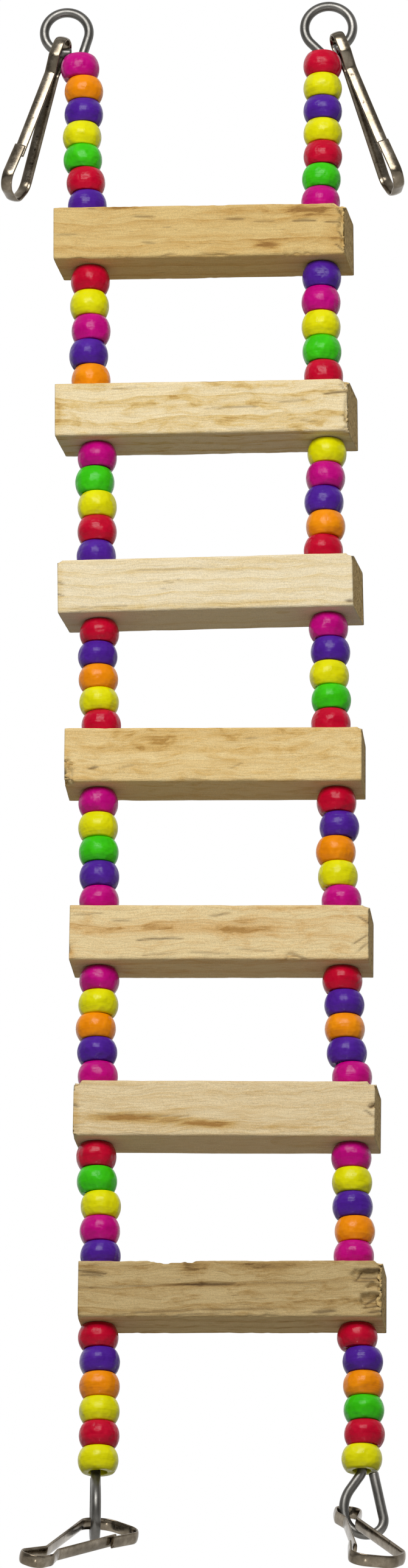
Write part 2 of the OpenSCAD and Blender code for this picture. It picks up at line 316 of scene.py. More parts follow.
def drill(bar, height):
    """Cuts the two holes of a bar for good, with cylinders that follow the rods."""
    turn = np.linspace(0, 2 * np.pi, 32, endpoint=False)
    circle = np.stack([np.cos(turn), np.sin(turn), 0 * turn], -1) * rung_hole / 2
    levels = (height - rung_size, height + rung_size)
    cutters = []
    for line in (left_line, right_line):
        cutters.append(skin(np.stack([circle + [rod_x(line, z), rod_plane, z] for z in levels])))
    points, faces = joined(cutters)
    mesh = bpy.data.meshes.new("drill")
    mesh.from_pydata((points / 1000).tolist(), [], faces)
    bit = bpy.data.objects.new("drill", mesh)
    bpy.context.scene.collection.objects.link(bit)
    cut = bar.modifiers.new("holes", "BOOLEAN")
    cut.operation, cut.object, cut.solver = "DIFFERENCE", bit, "EXACT"
    bpy.context.view_layer.update()
    drilled = bpy.data.meshes.new_from_object(bar.evaluated_get(bpy.context.evaluated_depsgraph_get()))
    bar.modifiers.clear()
    bar.data = drilled
    bpy.data.objects.remove(bit)


def stretch(tree, source, scale, location=(0, 0, 0)):
    """Coordinates scaled and then moved."""
    values = {"Scale": scale, "Location": location}
    return add(tree, "ShaderNodeMapping", values, {"Vector": source}).outputs[0]


def grain(tree, source, scale, detail, roughness=0.5, distortion=0.0):
    """Grey value of a noise texture on the given coordinates."""
    values = {"Scale": scale, "Detail": detail, "Roughness": roughness, "Distortion": distortion}
    return add(tree, "ShaderNodeTexNoise", values, {"Vector": source}).outputs["Fac"]


def marked(tree, name):
    """Grey value of a point attribute of the mesh."""
    return add(tree, "ShaderNodeAttribute", attribute_name=name).outputs["Fac"]


def over(tree, amount, under, top):
    """Lays one colour over another by an amount: top is a hex colour or the output of a node."""
    fixed = {"B": colour(top)} if isinstance(top, str) else {}
    fed = {} if fixed else {"B": top}
    links = {"Factor": amount, "A": under, **fed}
    return add(tree, "ShaderNodeMix", fixed, links, data_type="RGBA").outputs["Result"]


def bump(tree, height, strength, distance):
    """Tilts the surface by a height pattern: distance is the depth in metres."""
    values = {"Strength": strength, "Distance": distance}
    return add(tree, "ShaderNodeBump", values, {"Height": height}).outputs[0]


def pine(name, pale, tan, dark, at, seed, rings, band, flake, spots):
    """Sawn softwood: slow growth rings round a pith off the bar, fine fibres along it, tan heartwood, and
    the marks of the mesh for streaks (stain), cracks darkened partly with painted shade (dark), sawn ends
    lightened with painted light (end) and a front face darkened with painted shade (front_shade)."""
    material, tree = new_material(name)
    here = add(tree, "ShaderNodeTexCoord").outputs["Object"]
    # the bar's middle to the origin, metres to millimetres
    local = stretch(tree, here, (1000, 1000, 1000), (-at[0], rung_half, -at[1]))
    # growth rings about a far pith, bent by slow noise: the grain lines of the front face
    slow = {"Scale": 0.05, "Detail": 2.0, "Roughness": 0.5}
    sway = add(tree, "ShaderNodeTexNoise", slow, {"Vector": local}).outputs["Color"]
    centred = calc(tree, "SUBTRACT", sway, (0.5, 0.5, 0.5), kind="ShaderNodeVectorMath")
    swing = calc(tree, "MULTIPLY", centred, (0.0, 5.0, 5.0), kind="ShaderNodeVectorMath")
    bent = calc(tree, "ADD", local, swing, kind="ShaderNodeVectorMath")
    off_centre = {"Location": (0, rings[1], rings[2]), "Rotation": (0, np.radians(1.2), 0)}
    pith = add(tree, "ShaderNodeMapping", off_centre, {"Vector": bent}).outputs[0]
    waves = {"Scale": 2 * np.pi / 20 / rings[0], "Distortion": 0.6, "Detail": 2.0, "Detail Scale": 0.3}
    growth = add(tree, "ShaderNodeTexWave", waves, {"Vector": pith},
                 wave_type="RINGS", rings_direction="X", wave_profile="SAW").outputs["Fac"]
    late = remap(tree, growth, (0.55, 1.0), (0.0, band))
    # fibres, a third of a millimetre across and many times as long
    fibre = grain(tree, stretch(tree, bent, (0.10, 2.6, 2.6)), scale=1.0, detail=5.0, roughness=0.62)
    # torn patches where the saw lifted the surface, some millimetres long
    flake_space = stretch(tree, bent, (0.16, 0.5, 0.5), (seed, seed * 2, 0))
    torn = grain(tree, flake_space, scale=1.0, detail=6.0, roughness=0.6, distortion=0.6)
    flakes = remap(tree, torn, (0.5, 0.66), (0.0, flake))
    # short dark resin lines
    line_space = stretch(tree, bent, (0.22, 3.0, 3.0), (0, seed, 0))
    lines = grain(tree, line_space, scale=1.0, detail=2.0, roughness=0.4)
    resin = remap(tree, lines, (0.69, 0.8), (0.0, spots))
    # felt of cut fibres, and the coarser grit of the sawn ends
    felt = grain(tree, local, scale=5.0, detail=3.0, roughness=0.7)
    grit = grain(tree, local, scale=1.1, detail=4.0, roughness=0.75)
    # the tan heartwood is what the rings, the torn patches, the stains and the fibres add up to
    mottled = remap(tree, torn, (0.3, 0.7), (0.6, 1.25))
    stained = calc(tree, "MULTIPLY", marked(tree, "stain"), mottled)
    figure = calc(tree, "ADD", late, flakes)
    streaky = calc(tree, "ADD", figure, stained, use_clamp=True)
    fibres = remap(tree, fibre, (0.3, 0.72), (-0.16, 0.3))
    heart = calc(tree, "ADD", streaky, fibres, use_clamp=True)
    base = ramp(tree, heart, [(0.0, pale), (0.6, tan), (1.0, dark)])
    # dark resin lines, and dark strokes whose darkness is partly painted shade in cracks and torn hollows
    resin_and_crack_shade = calc(tree, "ADD", resin, marked(tree, "dark"), use_clamp=True)
    streaked = over(tree, resin_and_crack_shade, base, "#553A1C")
    end = marked(tree, "end")
    # the sawn end faces: the colour of end grain, drawn lighter as painted light that stands in for light
    # on the ends
    end_wood_and_light = ramp(tree, grit, [(0.3, "#745C36"), (0.46, "#CCAA6C"), (0.7, "#EACE90")])
    sawn = over(tree, end, streaked, end_wood_and_light)
    # felt, and painted shade on the front face, set its tone, as a factor on the colour
    shade = remap(tree, felt, (0.3, 0.7), (0.8, 1.14))
    # painted shade: the front face is darkened by its share
    unshaded = calc(tree, "SUBTRACT", 1.0, marked(tree, "front_shade"))
    tone = calc(tree, "MULTIPLY", shade, unshaded)
    final = add(tree, "ShaderNodeVectorMath", links={0: sawn, "Scale": tone}, operation="SCALE").outputs[0]
    # relief of fibres, felt and torn patches, and tufts on the ends
    relief = calc(tree, "ADD", fibre, calc(tree, "MULTIPLY", felt, 0.5))
    ridged = calc(tree, "MULTIPLY_ADD", torn, 1.4, relief)
    tufts = calc(tree, "MULTIPLY", grit, end)
    furred = calc(tree, "MULTIPLY_ADD", tufts, 4.0, ridged)
    tilted = bump(tree, furred, 0.75, 0.00022)
    wood = add(tree, "ShaderNodeBsdfPrincipled", {"Roughness": 0.78, "Specular IOR Level": 0.3},
               {"Base Color": final, "Normal": tilted})
    add(tree, "ShaderNodeOutputMaterial", links={"Surface": wood.outputs[0]})
    return material


# each rung, in millimetres: its height and place along X, and in degrees its slope and the skew
# of its ends; its colours, and how much painted shade darkens the front; growth rings (spacing, and
# shift of the pith in Y and Z); strength of late wood, torn flakes, resin lines and frayed edges. Then,
# counted from the middle of the bar, the tan patches (x, z, half length, half height, strength), the
# dark strokes (x0, z0, x1, z1, width, strength), whose dark colour is partly painted shade in cracks
# and hollows, and the missing wood (x, y, z, half sizes, depth)
rung_sheet = [
    dict(z=128.7, x=-3.6, slope=-0.4, skew=8.4, pale="#F1D08A", tan="#DCB064", dark="#A87A3A",
         front_shade_share=0.2, rings=(5.2, 6.0, 8.0), band=0.36, flake=0.22, spots=0.42, fray=0.55,
         patches=[(24.5, 4.8, 7.0, 1.3, 1.1), (8, 4.6, 6, 0.9, 0.7), (15.8, -4.0, 2.6, 1.0, 1.0),
                  (-16, 6.0, 5, 0.5, 0.9), (-25, 4.2, 3, 0.8, 0.3), (0, -1.5, 34, 0.45, 0.3),
                  (20, -2.6, 7, 0.4, 0.4), (31, -2, 2, 4, 0.4)],
         strokes=[(-15.2, 3.8, -10.2, 3.6, 0.22, 0.6), (6.2, 2.9, 10.4, 2.6, 0.25, 0.6),
                  (22.0, 2.0, 26.6, 2.0, 0.22, 0.75), (29.4, 1.6, 33.0, 1.5, 0.2, 0.7),
                  (-33.4, -0.6, -28.5, -0.5, 0.2, 0.35), (-12.8, -2.7, -10.4, -2.9, 0.25, 0.5),
                  (13, 2.0, 17, 2.0, 0.2, 0.4), (-8.5, -6.2, -5.5, -5.7, 0.2, 0.5),
                  (31.9, 5.0, 33.4, 3.2, 0.3, 0.7), (32.3, -0.8, 33.4, -2.8, 0.3, 0.7),
                  (31.6, -4.0, 33.4, -5.8, 0.28, 0.7)],
         chips=[(33.5, -6.5, 6.5, 2.2, 2.2, 1.8, 1.1), (33.5, -6.5, 0, 1.1, 1.5, 5.0, 0.9),
                (-28, -4.5, -6.5, 2.2, 1.6, 1.0, 0.35)]),
    dict(z=84.7, x=-2.9, slope=-0.5, skew=8.9, pale="#F0DDB2", tan="#DDBE7C", dark="#B88F48",
         rings=(4.4, 9.0, 6.0), band=0.4, flake=0.42, spots=0.22, fray=0.25,
         patches=[(-8, 0.4, 26, 0.7, 0.3), (-5, 2.9, 3.0, 0.9, 0.45), (15, 0.6, 12, 0.8, 0.3),
                  (5, -3.6, 5, 1.4, 0.2), (-4, -5.0, 6, 0.8, 0.25), (-26, 4.8, 6, 0.35, 0.4),
                  (10, 5.0, 8, 0.6, 0.35), (22, -4.4, 8, 1.2, 0.35), (-33, -1, 1.2, 5, 0.5)],
         strokes=[(1.0, -0.4, 12.5, -0.2, 0.18, 0.5), (28.3, 2.7, 33.4, 3.2, 0.22, 0.85),
                  (-20, 4.8, -14, 5.0, 0.15, 0.4), (18, 0.9, 24, 1.1, 0.18, 0.45),
                  (-1, 6.4, 5, 6.4, 0.15, 0.4), (23, -3.9, 26, -4.2, 0.2, 0.35),
                  (32.0, 4.8, 33.4, 3.0, 0.28, 0.65), (32.4, -2.6, 33.4, -4.6, 0.3, 0.7)],
         chips=[(33.5, -6.5, 6.5, 1.8, 2.2, 2.2, 1.1), (33.5, -6.5, -2, 0.9, 1.5, 5.0, 0.8)]),
    dict(z=41.5, x=-1.9, slope=-1.0, skew=9.6, pale="#F0E0BC", tan="#E2C890", dark="#B59054",
         rings=(2.6, 3.0, 12.0), band=0.3, flake=0.12, spots=0.12, fray=0.2,
         patches=[(-22, -5.4, 13, 0.5, 0.45), (8, -5.2, 12, 0.7, 0.5), (-5, 3.4, 30, 0.5, 0.3),
                  (20, 4.8, 14, 0.5, 0.3), (-33, 0, 0.8, 6, 0.4)],
         strokes=[(-32, -5.4, -18, -5.2, 0.15, 0.4), (-18, 3.2, 2, 3.6, 0.14, 0.3),
                  (32.0, -5.4, 33.4, -5.4, 0.3, 0.9), (-9, 0.5, -7.6, 0.1, 0.2, 0.4),
                  (-6.6, 1.0, -5.4, 0.6, 0.2, 0.35), (-10, -1.2, -8.6, -1.5, 0.2, 0.35),
                  (-33.4, 1, -32.4, 0.6, 0.25, 0.6), (-33.4, -1.9, -32.4, -2.3, 0.25, 0.6)],
         chips=[(33.5, -6.5, 6.5, 1.2, 2.0, 1.8, 0.6), (-33.5, -6.5, 6.5, 0.9, 1.5, 1.5, 0.5)]),
    dict(z=0.0, x=0.0, slope=0.3, skew=3, pale="#EBD096", tan="#D8B26C", dark="#B58A44",
         rings=(6.5, 2.0, 6.2), band=0.25, flake=0.35, spots=0.25, fray=0.35,
         patches=[(-18, 1.2, 16, 0.9, 0.6), (-12, 3.0, 4, 1.6, 0.35), (12, 0.9, 20, 0.8, 0.3),
                  (0, 4.2, 34, 2.6, 0.3), (-33, -2, 1.0, 4, 0.35)],
         strokes=[(-27.6, -3.5, -26.2, -3.1, 0.28, 0.8), (7, 3.6, 10, 3.9, 0.2, 0.4),
                  (-21, -3.4, -18, -2.6, 0.2, 0.35), (4, -3.4, 6.5, -2.4, 0.2, 0.35)],
         chips=[(-33.5, -6.5, -6.5, 1.8, 2.5, 4.5, 1.5), (33.5, -6.5, 6.5, 0.9, 1.6, 1.6, 0.5)]),
    dict(z=-42.5, x=1.5, slope=0.5, skew=3.6, pale="#EAD29E", tan="#D9B274", dark="#B08444",
         rings=(5.5, 8.0, 3.0), band=0.3, flake=0.3, spots=0.25, fray=0.3,
         patches=[(0, 0.9, 14, 1.3, 0.55), (6, 0.4, 9, 0.9, 0.45), (22, -0.8, 12, 0.7, 0.35),
                  (-26, 1.0, 9, 1.5, 0.35), (15, 5.6, 12, 0.6, 0.4), (-33, -5, 0.8, 2, 0.6)],
         strokes=[(-18, -1.9, -8.5, -1.5, 0.22, 0.7), (-2, 3.9, 2.2, 4.3, 0.22, 0.6),
                  (16, -5.4, 19.4, -6.2, 0.25, 0.6), (-32.5, 4.2, -26.5, 4.4, 0.18, 0.45),
                  (-24, 2.8, -20, 2.6, 0.18, 0.4), (31.2, 3.6, 33.4, 2.2, 0.25, 0.7),
                  (30, -2.8, 33.2, -0.6, 0.25, 0.6), (-17, -5.6, -10, -5.0, 0.2, 0.4),
                  (-6, -4.8, 2, -5.2, 0.2, 0.4), (4, -4.0, 12, -4.5, 0.2, 0.35),
                  (31, -4.6, 33.2, -2.4, 0.25, 0.6)],
         chips=[(33.5, -6.5, 6.5, 1.4, 1.8, 1.4, 0.7), (33.5, -6.5, 0, 0.7, 1.0, 5.0, 0.35),
                (-33.5, -6.5, -4, 0.6, 1.0, 1.2, 0.5), (16.5, -6.5, -6.0, 1.6, 1.2, 1.2, 0.4)]),
    dict(z=-83.9, x=2.7, slope=0.7, skew=5, pale="#E6D0A4", tan="#CCA868", dark="#A67A3C",
         rings=(3.4, 3.0, 20.0), band=0.16, flake=0.12, spots=0.15, fray=0.2,
         patches=[(-26, -2.4, 6, 0.9, 0.6), (-19, -2.6, 8.5, 1.1, 0.75), (-7, -3.3, 7, 0.9, 0.75),
                  (-1.0, -3.8, 3.6, 0.8, 0.8), (12, -4.4, 14, 0.6, 0.3), (-33, 0, 0.8, 5, 0.3)],
         strokes=[(-28, -1.7, -8, -2.0, 0.16, 0.35), (32.4, 0.4, 33.4, 1.0, 0.35, 0.95),
                  (31.6, -0.6, 33.2, -1.8, 0.25, 0.7), (-33.4, 0.6, -32.6, 0.2, 0.3, 0.7)],
         chips=[(-33.5, -6.5, 6.5, 1.9, 2.4, 2.0, 1.1), (-33.5, -6.5, -6.5, 1.2, 1.6, 1.6, 0.6),
                (33.5, -6.5, 6.5, 1.5, 2.0, 1.6, 0.9), (32.8, -6.5, 0.6, 0.7, 0.8, 0.6, 0.7)]),
    dict(z=-125.7, x=4.1, slope=0.4, skew=3.6, pale="#ECCE92", tan="#CCA665", dark="#95713C",
         front_shade_share=0.33, rings=(4.6, 7.0, 8.0), band=0.4, flake=0.4, spots=0.5, fray=0.45,
         patches=[(-8, 4.8, 3.2, 1.6, 0.7), (8, 5.2, 8, 0.8, 0.55), (10, 4.0, 4, 1.2, 0.5),
                  (-2, 0.8, 14, 0.35, 0.5), (16, -1.2, 10, 1.2, 0.3), (-20, 1.0, 13, 0.6, 0.3)],
         strokes=[(-33.4, 0.1, -10, 0.9, 0.16, 0.45), (-10, 0.95, 1, 1.1, 0.3, 0.85),
                  (1, 1.1, 27, 1.5, 0.14, 0.4), (-33.4, 4.1, -27.6, 3.4, 0.3, 0.75),
                  (-33.4, 3.2, -28, 2.8, 0.2, 0.6), (-23, -5.7, -6, -4.9, 0.2, 0.55),
                  (-6, -4.9, 10, -4.6, 0.2, 0.5), (-12, -6.2, 0, -5.5, 0.16, 0.5),
                  (18.6, -5.5, 23, -5.2, 0.35, 0.7), (27.6, 1.8, 29.2, 4.2, 0.3, 0.85),
                  (29.2, 4.2, 33.3, 4.5, 0.28, 0.8), (28.8, 2.6, 33.3, 2.8, 0.25, 0.7),
                  (28.0, 1.7, 31.5, 1.6, 0.25, 0.7), (29.5, -3.4, 33.3, -1.4, 0.28, 0.8),
                  (29.8, -4.4, 33.4, -3.4, 0.28, 0.8), (30.6, -5.6, 33.4, -5.2, 0.25, 0.75)],
         chips=[(-13.6, -6.5, 7.0, 5.5, 9.0, 1.1, 0.9), (-11.8, -6.5, 7.0, 1.2, 9.0, 1.0, 0.4),
                (30.6, -6.5, 3.2, 3.2, 1.6, 1.3, 1.5), (31.4, -6.5, -2.6, 2.6, 1.6, 1.7, 1.5),
                (32.0, -6.5, 0.4, 1.6, 1.4, 0.8, 1.1), (33.5, -6.5, 6.5, 1.6, 2.0, 1.5, 0.9),
                (33.5, -6.5, 0, 0.9, 1.2, 5.5, 0.6), (33.8, -2, -2, 0.8, 3, 3, 0.4),
                (-33.5, -6.5, -6.5, 0.8, 1.4, 1.4, 0.4)]),
]
for number, sheet in enumerate(rung_sheet, 1):
    name = f"rung_{number}"
    seed = number * 11
    lean = np.tan(np.radians(sheet["skew"]))
    rings = bar_rings(lean)
    x, y, z = rings[..., 0], rings[..., 1], rings[..., 2]
    ends = np.zeros_like(x)
    ends[:len(end_steps)], ends[-len(end_steps):] = 1, 1
    # outward direction: away from the bar's axis on the sides, along it on the end faces
    out = np.stack([np.zeros_like(x), y, z], -1)
    out = np.sign(out) * np.clip((np.abs(out) - rung_half + edge_reach) / edge_reach, 0, 1)
    out[..., 0] = np.where(ends == 1, np.sign(x), 0)
    out /= np.maximum(np.linalg.norm(out, axis=-1, keepdims=True), 1e-6)
    # the saw's waviness, the fur of the end faces, frayed long edges and wood that is missing
    sink = saw_wave * noise(rings, (14, 6, 6), seed) + fine_wave * noise(rings, (5, 1.2, 1.2), seed + 1)
    sink = sink + ends * (end_fur * np.abs(noise(rings, (0.8, 1.4, 1.0), seed + 2)) + end_cut)
    in_y, in_z = np.maximum(rung_half - np.abs(y), 0), np.maximum(rung_half - np.abs(z), 0)
    corner = np.exp(-(in_y ** 2 + in_z ** 2) / 0.5)
    fray = noise(rings, (3.4, 30, 30), seed + 3) + 0.5 * noise(rings, (1.2, 30, 30), seed + 4) - 0.1
    lower = np.where((z < 0) & (y < 0), 1.0, other_fray)
    sink = sink + corner * np.clip(fray, 0, 1.2) * lower * sheet["fray"]
    rough = 1 + 0.6 * noise(rings, (0.9, 0.9, 0.7), seed + 5)
    for cx, cy, cz, rx, ry, rz, depth in sheet["chips"]:
        cx = cx + lean * (cy + rung_half)
        d = ((x - cx) / rx) ** 2 + ((y - cy) / ry) ** 2 + ((z - cz) / rz) ** 2
        sink = sink + depth * np.clip(1.25 - d * rough, 0, 1) ** 0.7
    # patches and strokes lie on the front face only
    front = (y < -rung_half + front_skin).astype(float) * (1 - ends)
    stain, dark = np.zeros_like(x), np.zeros_like(x)
    for cx, cz, rx, rz, strength in sheet["patches"]:
        stain += strength * near(x, z, (cx, cz), (rx, rz)) * front
    wobble = z + stroke_wander * noise(rings, (1.6, 9, 9), seed + 6)
    # dark strokes are cracks and torn hollows, carved a little; their dark colour is partly painted shade
    for x0, z0, x1, z1, width, strength in sheet["strokes"]:
        stroke = dash(x, wobble, x0, z0, x1, z1, width * 1.25) * front
        dark = np.maximum(dark, strength * stroke)
        sink = sink + stroke_depth * strength * stroke
    rings = rings - out * sink[..., None]
    t = np.radians(sheet["slope"])
    turned = rings @ np.array([[np.cos(t), 0, -np.sin(t)], [0, 1, 0], [np.sin(t), 0, np.cos(t)]])
    turned = turned + [sheet["x"], rod_plane, sheet["z"]]
    wood = pine(f"sawn_pine_{number}", sheet["pale"], sheet["tan"], sheet["dark"], (sheet["x"], sheet["z"]),
                seed, sheet["rings"], sheet["band"], sheet["flake"], sheet["spots"])
    # the front face of a rung is darkened with painted shade, by the share given in its sheet
    marks = {"stain": with_poles(stain), "dark": with_poles(dark), "end": with_poles(ends),
             "front_shade": with_poles(front * sheet.get("front_shade_share", 0))}
    made = piece(f"sawn_{name}", [inside_out(*skin(turned))], wood, "ladder", [name], marks)
    drill(made, sheet["z"])

# Rods. Two lengths of galvanised wire, 2.2 mm thick, each bent by hand into a ring at the
# top and a pear-shaped eye at the bottom that goes back into the last bead.
rod_diameter, left_ring, right_ring, pear_length = 2.2, 5.2, 5.6, 14.2


def bent_line(corners, step=0.4):
    """The middle line of a bar bent at corners (a, b, radius): straight runs and round arcs, about one
    point each step, with the direction at every point."""
    corners = np.array(corners, float)
    flat, radii = corners[:, :2], corners[:, 2]
    runs = np.diff(flat, axis=0)
    heads = np.arctan2(runs[:, 1], runs[:, 0])
    turns = (np.diff(heads) + np.pi) % (2 * np.pi) - np.pi
    back_off = np.concatenate([[0], radii[1:-1] * np.abs(np.tan(turns / 2)), [0]])
    points, angles = [], []
    for i in range(len(runs)):
        ahead = np.array([np.cos(heads[i]), np.sin(heads[i])])
        start, stop = flat[i] + ahead * back_off[i], flat[i + 1] - ahead * back_off[i + 1]
        run = np.linalg.norm(stop - start)
        t = np.linspace(0, 1, max(2, int(run / step)))[:, None]
        points.append(start + (stop - start) * t)
        angles.append(np.full(len(t), heads[i]))
        if i < len(turns):
            turn, r = turns[i], radii[i + 1]
            middle = stop + np.sign(turn) * r * np.array([-ahead[1], ahead[0]])
            a = heads[i] + turn * np.linspace(0, 1, max(4, int(abs(turn) * max(r, 1) / step) + 2))[1:-1]
            points.append(middle + np.sign(turn) * r * np.stack([np.sin(a), -np.cos(a)], -1))
            angles.append(a)
    points, angles = np.vstack(points), np.concatenate(angles)
    keep = np.concatenate([[True], np.linalg.norm(np.diff(points, axis=0), axis=1) > 1e-4])
    return points[keep], np.unwrap(angles[keep])


def ring_corners(start, middle, r, wind, tail):
    """Corners of a path that comes from start and winds round a circle to the left by wind degrees, in
    three equal bends, then runs on for tail."""
    v = np.subtract(middle, start)
    first = np.degrees(np.arctan2(v[1], v[0])) - np.degrees(np.arcsin(r / np.hypot(*v)))
    step = wind / 3
    out = r / np.cos(np.radians(step / 2))
    rounds = []
    for k in range(3):
        a = np.radians(first + step * (k + 0.5))
        rounds.append((middle[0] + out * np.sin(a), middle[1] - out * np.cos(a), r))
    a = np.radians(first + wind)
    stop = (middle[0] + r * np.sin(a) + tail * np.cos(a), middle[1] - r * np.cos(a) + tail * np.sin(a), 0)
    return rounds + [stop]


def held(values, count):
    """An array with its first and its last row repeated count times more."""
    return np.concatenate([[values[0]] * count, values, [values[-1]] * count])


def round_wire(points, along, across, d):
    """Rings of wire round a middle line: a circle in the plane of two directions square to it, drawn in
    over three more rings at each cut end."""
    turn = np.linspace(0, 2 * np.pi, 28, endpoint=False)
    size = np.concatenate([[0.4, 0.8, 0.93], np.ones(len(points)), [0.93, 0.8, 0.4]])
    push = np.concatenate([[-0.1, -0.09, -0.05], np.zeros(len(points)), [0.05, 0.09, 0.1]])
    third = held(np.cross(along, across), 3)
    points, along, across = held(points, 3), held(along, 3), held(across, 3)
    points = points + along * push[:, None]
    circle = np.cos(turn)[None, :, None] * across[:, None] + np.sin(turn)[None, :, None] * third[:, None]
    return points[:, None] + circle * (size * d / 2)[:, None, None]


def galvanised():
    """Galvanised steel wire, drawn and dull: mid grey zinc, faint mottling, fine roughness, satin
    gloss."""
    material, tree = new_material("galvanised_wire")
    here = add(tree, "ShaderNodeTexCoord").outputs["Object"]
    fine = grain(tree, here, scale=900.0, detail=5.0, roughness=0.65)
    slow = grain(tree, here, scale=160.0, detail=3.0)
    zinc = ramp(tree, slow, [(0.3, "#5C5A56"), (0.55, "#6E6C68"), (0.75, "#86837E")])
    dull = remap(tree, fine, (0.3, 0.7), (0.3, 0.44))
    tilted = bump(tree, fine, 0.15, 0.00005)
    steel = add(tree, "ShaderNodeBsdfPrincipled", {"Metallic": 1.0},
                {"Base Color": zinc, "Roughness": dull, "Normal": tilted})
    add(tree, "ShaderNodeOutputMaterial", links={"Surface": steel.outputs[0]})
    return material


def upright_line(corners):
    """A bent line drawn in X and Z put into the plane of the rods, with its direction and the plane's
    normal."""
    flat, angle = bent_line(corners)
    points = np.stack([flat[:, 0], np.full(len(flat), rod_plane), flat[:, 1]], -1)
    along = np.stack([np.cos(angle), 0 * angle, np.sin(angle)], -1)
    return points, along, np.tile([0.0, 1.0, 0.0], (len(flat), 1))


wire = galvanised()
# the pear eye from the foot of the rod: down, round the wide bottom and back up (across, up, bend radius)
pear = [(0, -0.3, 2.5), (-4.7, -7, 7.9), (-2.6, -0.8 - pear_length, 4.9), (5.3, 0.5 - pear_length, 3.1),
        (2.5, -0.5, 0)]
left_start, right_start = (left_line[2, 1], top_z + 0.8), (right_line[3, 1], top_z)
left_foot, right_foot = left_line[0, 1], right_line[0, 1]
# degrees that each ring winds, and the radius of the long slow bends
left_wind, right_wind, slow_bend = 285, 288, 300
left_middle = (-34.8, top_z + left_ring + rod_diameter / 2 + 0.05)
right_middle = (26.25, top_z + right_ring + rod_diameter / 2 + 0.1)

left_top = ring_corners(left_start, left_middle, left_ring, left_wind, 1.2)
lean_z, lean_x = left_line[1]
left_shank = [(*left_start, 4), (lean_x, lean_z, slow_bend), (left_foot, bottom_z + 4, 0)]
shank, shank_along, shank_across = upright_line(left_top[::-1] + left_shank)
# the left pear eye stands square to the ladder: its own plane is turned 95 degrees about the shank
left_pear = [(0, bottom_z + 3.9, 0)] + [(a, b + bottom_z, r) for a, b, r in pear]
eye, eye_along, eye_across = upright_line(left_pear)
eye_turn = np.radians(95)
cosine, sine = np.cos(eye_turn), np.sin(eye_turn)
spin = np.array([[cosine, sine, 0], [-sine, cosine, 0], [0, 0, 1]])
eye = (eye - [0, rod_plane, 0]) @ spin + [left_foot, rod_plane, 0]
# the section's cross directions turn with it over 50 mm of the shank, so the tube is one even skin
twist_start, twist_run = bottom_z + 60, 50
twist = eye_turn * np.clip((twist_start - shank[:, 2]) / twist_run, 0, 1)
shank_across = np.stack([-np.sin(twist), np.cos(twist), 0 * twist], -1)
left_points = np.vstack([shank, eye])
left_along = np.vstack([shank_along, eye_along @ spin])
left_across = np.vstack([shank_across, eye_across @ spin])
left_tube = round_wire(left_points, left_along, left_across, rod_diameter)
piece("bent_left_rod", [skin(left_tube)], wire, "ladder", ["left_rod"])

# the right ring winds the other way, so it is worked out mirrored and turned back
mirror_start, mirror_middle = (-right_start[0], right_start[1]), (-right_middle[0], right_middle[1])
mirrored = ring_corners(mirror_start, mirror_middle, right_ring, right_wind, 1)
right_top = [(-a, b, r) for a, b, r in mirrored]
right_shank = [(*right_start, 2.6)] + [(x, z, slow_bend) for z, x in right_line[2:0:-1]]
right_pear = [(a + right_foot, b + bottom_z, r) for a, b, r in pear]
right_tube = round_wire(*upright_line(right_top[::-1] + right_shank + right_pear), rod_diameter)
piece("bent_right_rod", [skin(right_tube)], wire, "ladder", ["right_rod"])

# Beads. Moulded barrel beads in six bright colours, threaded on the rods between the rungs
# and almost touching, each slid a little to one side of the wire.
bead_diameter, bead_hole, bead_flat, bead_play = 9.0, 4.0, 7.0, 0.1
rounding, seam_height, seam_width = 0.26, 0.012, 0.09
# points: on the bulging side, on the whole profile while it is rounded, and round the bead; of the
# profile every fourth point is kept
side_points, profile_points, round_points, kept_step = 60, 240, 44, 4
# one word for each space from the top down, one letter for each bead
left_beads = ["MOPYGRP", "RYMPO", "MGYRP", "RPOYR", "MYGPM", "MYOPM", "RGYMP", "RPOYRY"]
right_beads = ["RYPYRGM", "PMYGR", "YMPOR", "MPYGR", "RPOYM", "RPOPM", "MYPOM", "RPOGRY"]
# where each bead stands on its play, from 0 on the left over 4 in the middle to 8 on the right
left_slides = ["0430034", "53402", "73542", "30014", "11233", "43023", "23878", "688887"]
right_slides = ["3333310", "10013", "75352", "56342", "46014", "01016", "00020", "288884"]


def bead_profile(length):
    """Half of a bead cut open, as a closed line of radius and height: hole, flat ends and bulging side,
    with every corner rounded by sliding a short average along the line."""
    rise = length / 2
    step = (bead_diameter - bead_flat) / 2
    bulge = (step * step + rise * rise) / (2 * step)
    z = np.linspace(-rise, rise, side_points)
    side = np.stack([bead_diameter / 2 - bulge + np.sqrt(bulge ** 2 - z ** 2), z], -1)
    hole = np.array([[bead_hole / 2, rise], [bead_hole / 2, -rise]])
    line = np.vstack([side, hole, side[:1]])
    gone = np.concatenate([[0], np.cumsum(np.linalg.norm(np.diff(line, axis=0), axis=1))])
    s = np.linspace(0, gone[-1], profile_points, endpoint=False)
    line = np.stack([np.interp(s, gone, line[:, k]) for k in (0, 1)], -1)
    spread = rounding / (gone[-1] / profile_points)
    k = np.arange(-24, 25)
    weight = np.exp(-(k / spread) ** 2)
    smooth = sum(w * np.roll(line, int(i), axis=0) for i, w in zip(k, weight / weight.sum()))
    # the fine line that the two halves of the mould leave round the middle
    seam = np.exp(-(smooth[:, 1] / seam_width) ** 2) * (smooth[:, 0] > bead_diameter / 2 - 0.4)
    smooth[:, 0] += seam_height * seam
    return smooth[::kept_step]


